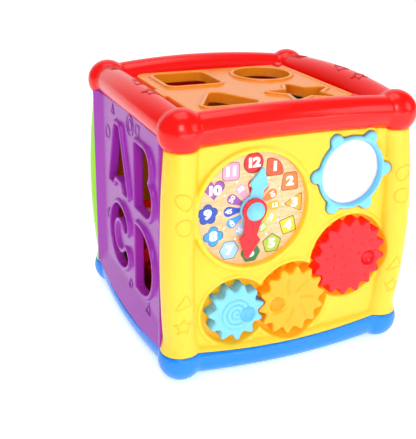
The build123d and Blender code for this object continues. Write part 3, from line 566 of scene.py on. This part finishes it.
def letter_c(along, z):
    """Round stroke from 42 to 318 degrees."""
    along, z = along + 16.5, z - 56.5
    radius, start, end, half_width = 16.2, 42, 318, 4.7
    angle = np.degrees(np.arctan2(z, along)) % 360
    tips = [np.hypot(along - radius * cos(radians(tip)), z - radius * sin(radians(tip)))
            for tip in (start, end)]
    stroke = np.abs(np.hypot(along, z) - radius)
    on_arc = (angle >= start) & (angle <= end)
    return np.where(on_arc, stroke, np.minimum(*tips)) - half_width


def letter_d(along, z):
    bowl = np.maximum(np.hypot(along - 24.5, z - 56) - 21.0, 22 - along)
    return np.minimum(rectangle(along, z, 21, 56, 6, 21, 2), bowl)


LETTER_A = [(-38, 88.5), (-24, 129), (-14.5, 129), (1.5, 88),      # along, z
            (-7.5, 88), (-11.5, 94), (-24, 94), (-28.5, 88.5)]
LETTERS = [rounded_polygon(LETTER_A, 1.5), letter_b, letter_c, letter_d]


def left_panel(x, y, z):
    along, out = -y, -x
    # The wall flares out towards its sides and its foot
    side_flare = 4.6 * np.clip((np.abs(along) - 52) / 13, 0, 1.3)
    foot_flare = 4.9 * np.clip((30 - z) / 17, 0, 1.3)
    face = WALL_OUT + smooth_max(side_flare, foot_flare, 1.0) - 0.25
    body = np.abs(out - (face - WALL_HALF)) * 0.94 - WALL_HALF
    outlines = [letter(along, z) for letter in LETTERS]
    body = join(body, 1.0, *[prism(shape - 2.7, out, 70.5, 76.7, 1.3) for shape in outlines])
    body = carve(body, 0.9, *outlines)
    body = carve(body, 0.4, posts(along, out, z) - GAP, top_bar(along, out, z) - GAP)
    body = np.maximum(body, np.maximum(z - 142.2, seam(along, SEAM_SIDE) + GAP - z))
    return np.maximum(body, np.abs(along) - 64.0)


def back_panel(x, y, z):
    along, out = -x, y
    body = join(plate(along, out, z), 1.5, posts(along, out, z))
    keys = np.minimum.reduce([rectangle(along, z, middle, 58.0, 7.3, 17.3, 1.8)
                              for middle in (-32, -16, 0, 16, 32)])
    surround = prism(rectangle(along, z, 0, 58.0, 43.0, 20.5, 4), out, 72.0, 75.4, 0.9)
    centre = np.hypot(along, z - 108.0)
    body = join(body, 1.0, surround, np.hypot(centre - 13.6, out - 74.4) - 1.5)
    body = carve(body, 0.5, keys, centre - 11.4)
    body = carve(body, 0.4, rectangle(along, z, 34.0, 110.0, 3.1, 7.1, 1.2))
    # Small holes: one in the middle, then rings of six and twelve
    holes = np.hypot(along + 34.0, z - 108.0) - 1.4
    for radius, count in ((4.8, 6), (9.4, 12)):
        for k in range(count):
            angle = 2 * pi * k / count
            holes = np.minimum(holes, np.hypot(along + 34.0 - radius * cos(angle),
                                               z - 108.0 - radius * sin(angle)) - 1.4)
    return np.maximum(carve(body, 0.3, holes), below_seam(along) - z)


def right_panel(x, y, z):
    along, out = y, x
    body = plate(along, out, z, SEAM_SIDE)
    centre = np.hypot(along, z - 104.0)
    body = join(body, 0.9, np.hypot(centre - 28.5, out - 73.9) - 1.3)
    for height in (62.0, 42.0):         # level slots with raised rims
        slot = np.hypot(np.maximum(np.abs(along) - 20.0, 0), z - height)
        body = join(body, 0.8, np.hypot(slot - 5.4, out - 74.0) - 1.2)
        body = carve(body, 0.4, slot - 3.5)
    body = join(body, 0.4, prism(centre - 6.0, out, 66.0, 74.0, 0.4))
    body = carve(body, 0.2, centre - BORE)
    body = carve(body, 0.4, posts(along, out, z) - GAP)
    return np.maximum(np.maximum(body, np.abs(along) - 63.0),
                      seam(along, SEAM_SIDE) + GAP - z)


# ---------------------------------------------------------------- lid
LID_HOLES = [
    lambda x, y: rectangle(x, y, -28.0, 24.5, 17.5, 17.5, 5),
    lambda x, y: np.hypot(x - 25.5, y - 25.0) - 18.5,
    rounded_polygon([(-27.0, -11.5), (-46.5, -46.0), (-7.5, -46.0)], 4.0),
    rounded_polygon(star(25.5, -30, 22, 10.5), 1.2),
]


def lid(x, y, z):
    side_y = np.abs(y)
    outline = np.maximum(rectangle(x, y, 0, 0, 53.5, 53.5, 8), x - EAR_X)
    # Notched at both right corners to clear the ears
    outline = np.maximum(outline, np.minimum(x - 47.9, side_y - 45.1))
    body = prism(outline, z, 149.0, 152.5, 1.1)
    round_edge = prism(np.hypot(x - EAR_X, z - EAR_Z) - 2.4, side_y, -1.0, 45.1, 0.5)
    tab = prism(rectangle(x, y, -54.2, 0, 1.5, 9, 1.2), z, 150.2, 152.2, 0.6)
    body = join(body, 0.6, round_edge, tab)
    holes = [hole(x, y) for hole in LID_HOLES]
    for hole in holes:                  # rim above and collar below
        body = join(body, 0.6, prism(hole - 2.7, z, 149.6, 153.9, 1.0))
        body = np.minimum(body, prism(hole - 1.6, z, 147.3, 150.0, 0.3))
    return carve(body, 0.7, *holes)


# object, field, box corners, grid step, material, node
for row in (
        ("moulded_top_frame", top_frame, (-81, -81, 137), (81, 81, 161), 0.75, "red",
         "top_frame"),
        ("moulded_base_frame", base_frame, (-81, -81, -1), (81, 81, 18.5), 0.75, "blue",
         "base_frame"),
        ("moulded_front_panel", front_panel, (-81, -81, 11.5), (81, -54, 145), 0.62, "yellow",
         "front_panel"),
        ("moulded_left_panel", left_panel, (-81, -66, 11.5), (-65, 66, 144), 0.55, "purple",
         "left_panel"),
        ("moulded_back_panel", back_panel, (-81, 54, 11.5), (81, 81, 145), 0.8, "lime",
         "back_panel"),
        ("moulded_right_panel", right_panel, (65, -65, 11.5), (81, 65, 145), 0.8, "teal",
         "right_panel"),
        ("moulded_lid", lid, (-56.5, -54.5, 144.5), (55, 54.5, 154.5), 0.5, "orange",
         "top_lid")):
    shell(*row)


def front_shell(name, field, centre, reach, near, far, step, material, node):
    """Shell of a piece on the front wall, in a box around its centre."""
    shell(name, field, (centre[0] - reach, -far, centre[1] - reach),
          (centre[0] + reach, -near, centre[1] + reach), step, material, node)


# ---------------------------------------------------------------- gears
def teeth(count, phase):
    """Corners of a toothed outline: two at each tip, two at each valley."""
    pitch_radius, pitch = PITCH_PER_TOOTH * count, 2 * pi / count
    corners = []
    for i in range(count):
        tip = radians(phase) + i * pitch
        for angle, radius in ((tip, pitch_radius + 1.8), (tip + pitch / 2, pitch_radius - 2.1)):
            for side in (-1, 1):
                turn = angle + side * 0.8 / radius
                corners.append((radius * cos(turn), radius * sin(turn)))
    return corners


def spiral(radius, angle):
    turn = (radius / 3.1 - angle / (2 * pi)) % 1.0
    return np.exp(-((turn - 0.5) / 0.13) ** 2) * np.clip((10.8 - radius) / 1.5, 0, 1)


def spokes(radius, angle):
    turn = (angle / (2 * pi) * 7 + radius * 0.035) % 1.0
    ends = np.clip((radius - 4) / 2, 0, 1) * np.clip((15.5 - radius) / 1.5, 0, 1)
    return np.exp(-((turn - 0.5) * radius * 0.9 / 0.8) ** 2) * ends


def dashes(radius, angle):
    depth = 0
    for ring_radius, count, shift in ((6.0, 5, 0.3), (11.5, 9, 0.1), (17.0, 13, 0.25)):
        nearest = np.round((angle / (2 * pi) - shift / count) * count)
        middle = 2 * pi * (nearest + shift) / count
        depth = depth + np.exp(-(((radius - ring_radius) / 1.3) ** 2
                                 + (ring_radius * (angle - middle) / 0.6) ** 2))
    return depth * 1.1


def gear_field(gear, grooves):
    pitch_radius = PITCH_PER_TOOTH * gear.teeth
    outline = rounded_polygon(teeth(gear.teeth, gear.phase), 0.65)

    def field(x, y, z):
        along, up, out = x - gear.x, z - gear.z, -y
        radius, angle = np.hypot(along, up), np.arctan2(up, along)
        toothed = smooth_max(outline(along, up), radius - pitch_radius - 1.75, 0.9)
        body = prism(toothed, out, 67.4, 77.0, 1.3)
        body = body + 0.65 * grooves(radius, angle) * np.clip((out - 74.0) / 2, 0, 1)
        dimple = np.sqrt((along - gear.dimple_x) ** 2 + (up - gear.dimple_z) ** 2
                         + (out - 78.2) ** 2) - 5.1
        shaft = prism(radius - 3.0, out, 61.3, 68.0, 0.2)
        return np.minimum(carve(body, 0.8, dimple), shaft)
    return field


for (size, gear), grooves in zip(GEARS.items(), (spiral, spokes, dashes)):
    front_shell("moulded_gear_" + size, gear_field(gear, grooves), (gear.x, gear.z),
                reach=PITCH_PER_TOOTH * gear.teeth + 3.6, near=60.5, far=78.5, step=0.42,
                material=gear.material, node="gear_" + size)


# ---------------------------------------------------------------- clock hands, hub, mirror
def hand_field(angle, corners, ring_radius, back, front):
    """Clock hand turned clockwise from straight up, by degrees."""
    turn = radians(angle)
    outline = rounded_polygon(corners, 0.5)

    def field(x, y, z):
        right, up = x - DIAL[0], z - DIAL[1]
        across = right * cos(turn) - up * sin(turn)
        length = right * sin(turn) + up * cos(turn)
        radius = np.hypot(across, length)
        blade = join(outline(across, length), 0.8, radius - ring_radius)
        return carve(prism(blade, -y, back, front, 0.55), 0.2, radius - BORE)
    return field


def hub_cap(x, y, z, radius=6.17):
    """Ball reaching out to 80, cut flat at the back."""
    ball = np.sqrt((x - DIAL[0]) ** 2 + (y + 80 - radius) ** 2 + (z - DIAL[1]) ** 2) - radius
    return smooth_max(ball, 76.2 + y, 0.4)


def mirror_frame(x, y, z):
    out = -y
    radius = np.hypot(x - MIRROR[0], z - MIRROR[1])
    body = prism(mirror_outline(x, z, 0.0), out, 70.9, 76.2, 1.7)
    body = smooth_max(body, 19.2 + np.clip(out - 73.2, 0, 3) * 0.35 - radius, 0.6)
    return carve(body, 0.2, np.maximum(radius - 19.6, out - 72.9))


# Hand outlines: across, along the hand
HOUR_HAND = [(-3.8, 3), (-3.8, 12.0), (-5.8, 14.8), (-0.6, 24.5),
             (0.6, 24.5), (5.8, 14.8), (3.8, 12.0), (3.8, 3)]
MINUTE_HAND = [(-6.0, 1), (-3.8, 14.0), (-6.5, 17.0), (-0.7, 28.3),
               (0.7, 28.3), (6.5, 17.0), (3.8, 14.0), (6.0, 1)]
front_shell("hour_hand_shell", hand_field(12.6, HOUR_HAND, 8.0, back=71.8, front=73.6), DIAL,
            reach=27, near=71.2, far=74.2, step=0.3, material="hand_blue", node="hour_hand")
front_shell("minute_hand_shell", hand_field(188.6, MINUTE_HAND, 7.3, back=73.9, front=76.0), DIAL,
            reach=31, near=73.3, far=76.6, step=0.3, material="hand_red", node="minute_hand")
front_shell("hub_cap_shell", hub_cap, DIAL,
            reach=7, near=75.4, far=80.6, step=0.25, material="hand_blue", node="hub_cap")
front_shell("mirror_frame_shell", mirror_frame, MIRROR,
            reach=28, near=70, far=77, step=0.4, material="sky", node="mirror_frame")

# ---------------------------------------------------------------- printed dial
dial_materials = frame["nodes"]["clock_dial"].data.materials
dial_materials.clear()
dial_materials.append(wood())
INKS = {}                       # colour: material, vertices, faces
WHITE = (255, 255, 255)


def ink(rgb):
    if rgb not in INKS:
        material = plastic("ink_%02x%02x%02x" % rgb, rgb, roughness=0.4, subsurface=0.0,
                           bump=0.0, vary=0.03)
        INKS[rgb] = (material, [], [])
    return INKS[rgb]


def add_to_case(name, data):
    obj = add_object(name, data)
    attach(obj, "case")


def stamp(points, out, rgb, thickness=0.12):
    """A printed patch: outline points (x, z), its face at the given distance out."""
    _, vertices, faces = ink(rgb)
    count, first = len(points), len(vertices)
    for y in (-out, -out + thickness):
        vertices += [(x, y, z) for x, z in points]
    faces.append(list(range(first, first + count)))
    for i in range(count):
        j = (i + 1) % count
        faces.append([first + i, first + count + i, first + count + j, first + j])


def ring(x, y, radius, count=28, start=0.0):
    return [(x + radius * cos(start + 2 * pi * i / count),
             y + radius * sin(start + 2 * pi * i / count)) for i in range(count)]


def lobes(count, distance, lobe_radius, start):
    """Outline of a ring of overlapping circles."""
    points, pitch = [], 2 * pi / count
    for i in range(72):
        angle = 2 * pi * i / 72
        offset = angle - (round((angle - start) / pitch) * pitch + start)
        # From the middle to the far side of the nearest circle
        reach = distance * cos(offset) + sqrt(lobe_radius ** 2 - (distance * sin(offset)) ** 2)
        points.append((reach * cos(angle), reach * sin(angle)))
    return points


def round_corners(corners, radius):
    """Each corner replaced by five points of a curve."""
    points = []
    count = len(corners)
    for i in range(count):
        here, before, after = (np.array(corners[k % count], float) for k in (i, i - 1, i + 1))
        back, ahead = before - here, after - here
        back_length, ahead_length = np.linalg.norm(back), np.linalg.norm(ahead)
        cut = min(radius, 0.45 * back_length, 0.45 * ahead_length)
        start, end = here + back / back_length * cut, here + ahead / ahead_length * cut
        for t in np.linspace(0, 1, 5):
            points.append(tuple((1 - t) ** 2 * start + 2 * t * (1 - t) * here + t * t * end))
    return points


def heart(size):
    angles = [2 * pi * i / 48 for i in range(48)]
    return [(size * 16 * sin(t) ** 3 / 17,
             size * (13 * cos(t) - 5 * cos(2 * t) - 2 * cos(3 * t) - cos(4 * t)) / 17
             + size * 0.12) for t in angles]


# hour: outline around its centre, colour
MARKS = {
    12: (ring(0, 0, 5.6), (228, 40, 40)),
    1: (round_corners([(-5, -5), (-5, 5), (-1.5, 5), (2.8, 2.8), (5, -1.5), (5, -5)], 1.6),
        (240, 90, 50)),
    2: (round_corners([(-4.0, 5), (4.0, 5), (5.2, -5), (-5.2, -5)], 1.8), (245, 130, 60)),
    3: (round_corners([(-6.6, 0), (4.4, 5.6), (4.4, -5.6)], 1.8), (245, 180, 50)),
    4: (round_corners([(-5.4, 3.0), (3.4, 5.4), (5.4, -3.6), (-2.6, -5.4)], 1.2),
        (240, 215, 40)),
    5: (round_corners(ring(0, 0, 6.0, 5, pi / 2), 1.2), (180, 205, 60)),
    6: (round_corners(ring(0, 0, 5.9, 6), 1.0), (30, 130, 75)),
    7: (round_corners(ring(0, 0, 5.9, 6), 1.0), (170, 215, 248)),
    8: (lobes(4, 2.9, 2.75, 0), (60, 165, 240)),
    9: (lobes(5, 3.1, 2.6, pi / 2), (45, 85, 195)),
    10: (heart(6.2), (160, 85, 180)),
    11: (round_corners([(-4.9, 4.9), (4.9, 4.9), (4.9, -4.9), (-4.9, -4.9)], 2.6),
         (250, 165, 200)),
}
# Border colours that are not a darker shade of the mark
BORDERS = {12: (150, 25, 30), **dict.fromkeys((3, 4, 5, 6), (120, 110, 70))}
NUMBERS = []                    # meshes of the printed numbers


def baked_mesh(name, curve):
    """The mesh of a curve or text."""
    obj = add_object(name, curve)
    mesh = bpy.data.meshes.new_from_object(
        obj.evaluated_get(bpy.context.evaluated_depsgraph_get()))
    bpy.data.objects.remove(obj)
    mesh.name = name
    return mesh


def print_number(number, x, z, out, size, fatten, track, angle=0.0):
    """White number facing the front, turned clockwise by an angle in degrees."""
    name = "dial_number_%02d" % len(NUMBERS)
    text = bpy.data.curves.new(name, "FONT")
    text.body = str(number)
    text.size, text.offset, text.extrude = size * MM, fatten * MM, 0.03 * MM
    text.align_x = text.align_y = "CENTER"
    text.space_character = track
    text.resolution_u = 3
    mesh = baked_mesh(name, text)
    stand = Matrix(((1, 0, 0, x * MM), (0, 0, -1, -out * MM), (0, 1, 0, z * MM), (0, 0, 0, 1)))
    widen = Matrix.Diagonal((1.24, 1, 1, 1))
    mesh.transform(stand @ Matrix.Rotation(-radians(angle), 4, "Z") @ widen)
    mesh.materials.clear()
    mesh.materials.append(ink(WHITE)[0])
    NUMBERS.append(mesh)


def dial_point(x, y, turn):
    """A dial point given upright, turned clockwise about the dial's centre."""
    return (DIAL[0] + x * cos(turn) + y * sin(turn), DIAL[1] - x * sin(turn) + y * cos(turn))


def print_hours():
    for hour, (points, rgb) in MARKS.items():
        x, z = dial_point(0, 26.8, radians(30 * hour))
        border = BORDERS.get(hour, tuple(int(c * 0.55 + 30) for c in rgb))
        for scale, out, colour in ((1.09, 71.27, border), (0.97, 71.32, rgb)):
            stamp([(x + p[0] * scale, z + p[1] * scale) for p in points], out, colour)
        print_number(hour, x, z + (-0.1 if hour != 3 else 0), out=71.36, size=7.4,
                     fatten=0.42, track=0.86)


def print_minute_dots():
    for minute in range(60):
        radius, rgb = (0.4, (248, 170, 90)) if minute % 5 else (0.62, WHITE)
        stamp(ring(*dial_point(0, 19.4, radians(6 * minute)), radius, 10), 71.27, rgb)


def print_minutes():
    """Drop-shaped patches pointing to the centre, each with its minutes."""
    arc = np.linspace(-0.35, pi + 0.35, 15)
    drop = [(-0.9, 6.5), (0.9, 6.5)] + [(3.0 * cos(t), 14.3 + 3.0 * sin(t)) for t in arc]
    for hour in range(1, 13):
        turn = radians(30 * hour)
        stamp([dial_point(x, y, turn) for x, y in drop], 71.30, MARKS[hour][1])
        # 15 and 45 stand upright, the lower numbers are turned to read from below
        angle = 0 if hour in (3, 9) else 30 * hour - 180 if 3 < hour < 9 else 30 * hour
        print_number(5 * hour, *dial_point(0, 14.2, turn), out=71.34, size=3.7,
                     fatten=0.14, track=0.9, angle=angle)


print_hours()
print_minute_dots()
print_minutes()
for rgb, (material, vertices, faces) in INKS.items():
    if vertices:
        mesh = bpy.data.meshes.new("dial_print_%02x%02x%02x" % rgb)
        mesh.from_pydata([tuple(c * MM for c in vertex) for vertex in vertices], [], faces)
        mesh.materials.append(material)
        add_to_case(mesh.name, mesh)
for mesh in NUMBERS:
    add_to_case(mesh.name, mesh)


# ---------------------------------------------------------------- raised outline icons
# The icon lines use darker copies of the body colours: painted shade along the outlines
def raised_lines(name, paths, radius, material):
    """Closed round lines along paths of 3D points."""
    curve = bpy.data.curves.new(name, "CURVE")
    curve.dimensions = "3D"
    curve.bevel_depth, curve.bevel_resolution = radius * MM, 2
    curve.use_fill_caps = True
    for path in paths:
        spline = curve.splines.new("POLY")
        spline.points.add(len(path) - 1)
        for point, place in zip(spline.points, path):
            point.co = (*[c * MM for c in place], 1)
        spline.use_cyclic_u = True
    curve.materials.append(MATERIALS[material])
    mesh = baked_mesh(name, curve)
    for face in mesh.polygons:
        face.use_smooth = True
    add_to_case(name, mesh)


def dense(corners, count=6):
    """Closed outline with each side split into equal steps."""
    points = []
    for i in range(len(corners)):
        start, end = np.array(corners[i]), np.array(corners[(i + 1) % len(corners)])
        points += [tuple(start + (end - start) * t / count) for t in range(count)]
    return points


def on_post(points):
    """Points (x, z) laid on the front of a front post."""
    placed = []
    for x, z in points:
        axis = CORNER + post_bow(z)
        placed.append((x, -(axis + sqrt(BAR_RADIUS ** 2 - (abs(x) - axis) ** 2) - 0.25), z))
    return placed


def on_left_wall(points):
    """Points (along, z) on the left wall, following the flare of its foot."""
    return [(-74.45 - ((30 - z) * 0.27 if z <= 31 else 0), -along, z) for along, z in points]


def on_top_bar(points, side):
    """Points (along, degrees outward from straight up) on a left or right top bar."""
    placed = []
    for along, angle in points:
        rise, radius = float(bow(along)), BAR_RADIUS - 0.15
        placed.append((side * (CORNER + rise + radius * sin(radians(angle))), along,
                       TOP_Z + rise + radius * cos(radians(angle))))
    return placed


SIDES = ((-1, "left"), (1, "right"))
for side, name in SIDES:
    x = 69.5 * side
    bean = [(x + 4.6 * cos(t) * (1.0 + 0.18 * sin(t)), 112 + 4.3 * sin(t) + 1.3 * cos(t) * side)
            for t in np.linspace(0, 2 * pi, 28, endpoint=False)]
    icons = [bean, ring(x, 98, 4.5), dense([(x - 4.8, 49.0), (x + 4.8, 51.5), (x + 0.8, 58.5)]),
             dense(star(x, 38, 5.2, 2.6), 4)]
    raised_lines("post_icons_" + name, [on_post(icon) for icon in icons], 0.5,
                 "shaded_yellow_line")

LEFT_ICONS = [
    ring(3, 134.5, 6.2, 36), ring(3, 134.5, 3.4, 24),
    dense([(14, 132), (20, 132), (20, 138), (14, 138)]),
    dense([(-35, 133), (-29, 133), (-32, 139)]),
    ring(-44, 118, 4.2, 24), dense(star(-46, 60, 4.6, 2.3), 3),
    ring(0, 29.5, 2.6, 18), dense([(31, 26), (38, 26), (34.5, 32)]),
]
raised_lines("letter_wall_icons", [on_left_wall(icon) for icon in LEFT_ICONS], 0.55,
             "shaded_purple_line")

BAR_ICONS = [
    dense([(44, -22), (56, -22), (56, 12), (44, 12)]),
    dense([(47, -12), (53, -12), (53, 2), (47, 2)]),
    dense([(-5, -28), (6, -5), (-8, 8)]),
    dense([(-25 + y * 6, -8 + x * 32) for x, y in star(0, 0, 1, 0.45)], 3),
]
for side, name in SIDES:
    raised_lines("bar_icons_" + name, [on_top_bar(icon, side) for icon in BAR_ICONS], 0.55,
                 "shaded_red_line")


# ---------------------------------------------------------------- floor, light, camera
def make_floor(half=6, z=-0.0002):
    mesh = bpy.data.meshes.new("floor")
    mesh.from_pydata([(-half, -half, z), (half, -half, z), (half, half, z), (-half, half, z)],
                     [], [(0, 1, 2, 3)])
    add_object("floor", mesh)
    material = bpy.data.materials.new("floor_white")
    material.use_nodes = True
    set_inputs(shader_of(material), Base_Color=(0.93, 0.93, 0.94, 1), Roughness=0.6,
               Emission_Color=(1, 1, 1, 1), Emission_Strength=0.52)
    mesh.materials.append(material)


def make_world():
    """White to the camera, dimmer as light; reflections brighten towards the back."""
    world = bpy.data.worlds.new("studio")
    scene.world = world
    world.use_nodes = True
    tree = world.node_tree
    link = tree.links.new
    background = tree.nodes["Background"]
    set_inputs(background, Color=(1, 1, 1, 1))
    rays = add_node(tree, "LightPath")
    direction = add_node(tree, "TexCoord")
    towards = add_node(tree, "VectorMath")
    towards.operation = "DOT_PRODUCT"
    towards.inputs[1].default_value = (0.30, 0.93, 0.2)
    reflected = add_node(tree, "MapRange", From_Min=0.55, From_Max=0.95,
                         To_Min=0.10, To_Max=0.95)
    reflected.interpolation_type = "SMOOTHSTEP"
    lighting, seen = add_node(tree, "Mix"), add_node(tree, "Mix")
    lighting.inputs[FLOAT_A].default_value = 0.5
    seen.inputs[FLOAT_B].default_value = 1.0
    link(direction.outputs["Generated"], towards.inputs[0])
    link(towards.outputs["Value"], reflected.inputs["Value"])
    link(reflected.outputs["Result"], lighting.inputs[FLOAT_B])
    link(rays.outputs["Is Glossy Ray"], lighting.inputs[FACTOR])
    link(lighting.outputs[0], seen.inputs[FLOAT_A])
    link(rays.outputs["Is Camera Ray"], seen.inputs[FACTOR])
    link(seen.outputs[0], background.inputs["Strength"])


def area_light(name, place, aim_z, width, height, power):
    """Rectangular light aimed at a point on the z axis."""
    light = bpy.data.lights.new(name, "AREA")
    light.energy, light.shape = power, "RECTANGLE"
    light.size, light.size_y = width, height
    obj = add_object(name, light)
    obj.location = place
    obj.rotation_mode = "QUATERNION"
    aim = Vector((0, 0, aim_z)) - Vector(place)
    obj.rotation_quaternion = aim.to_track_quat("-Z", "Y")


def make_camera():
    turn, tilt, roll = radians(-24.86), radians(20.0), radians(1.48)
    place = (-211.66, -438.63, 263.17)
    forward = Vector((-sin(turn) * cos(tilt), cos(turn) * cos(tilt), -sin(tilt)))
    level = forward.cross(Vector((0, 0, 1))).normalized()
    upright = level.cross(forward)
    right = cos(roll) * level + sin(roll) * upright
    up = -sin(roll) * level + cos(roll) * upright
    data = bpy.data.cameras.new("camera")
    camera = add_object("camera", data)
    pose = Matrix((right, up, -forward)).transposed().to_4x4()
    pose.translation = [c * MM for c in place]
    camera.matrix_world = pose
    data.sensor_width, data.lens = 36.0, 65.21412
    data.shift_x, data.shift_y = -0.04517084, -0.07731207
    data.clip_start, data.clip_end = 0.01, 50
    scene.camera = camera


make_floor()
make_world()
area_light("key", (-0.35, -0.85, 0.75), aim_z=0.08, width=0.3, height=0.42, power=3.4)
area_light("front", (-0.22, -1.0, 0.36), aim_z=0.07, width=0.55, height=0.55, power=0.7)
area_light("strip", (0.15, -1.0, 0.13), aim_z=0.13, width=1.2, height=0.07, power=1.5)
area_light("fill", (0.75, -0.7, 0.55), aim_z=0.08, width=0.5, height=0.5, power=1.7)
area_light("top", (0.0, 0.1, 1.1), aim_z=0.1, width=0.7, height=0.7, power=3.0)
make_camera()
scene.view_settings.view_transform = "Standard"
scene.view_settings.look = "None"
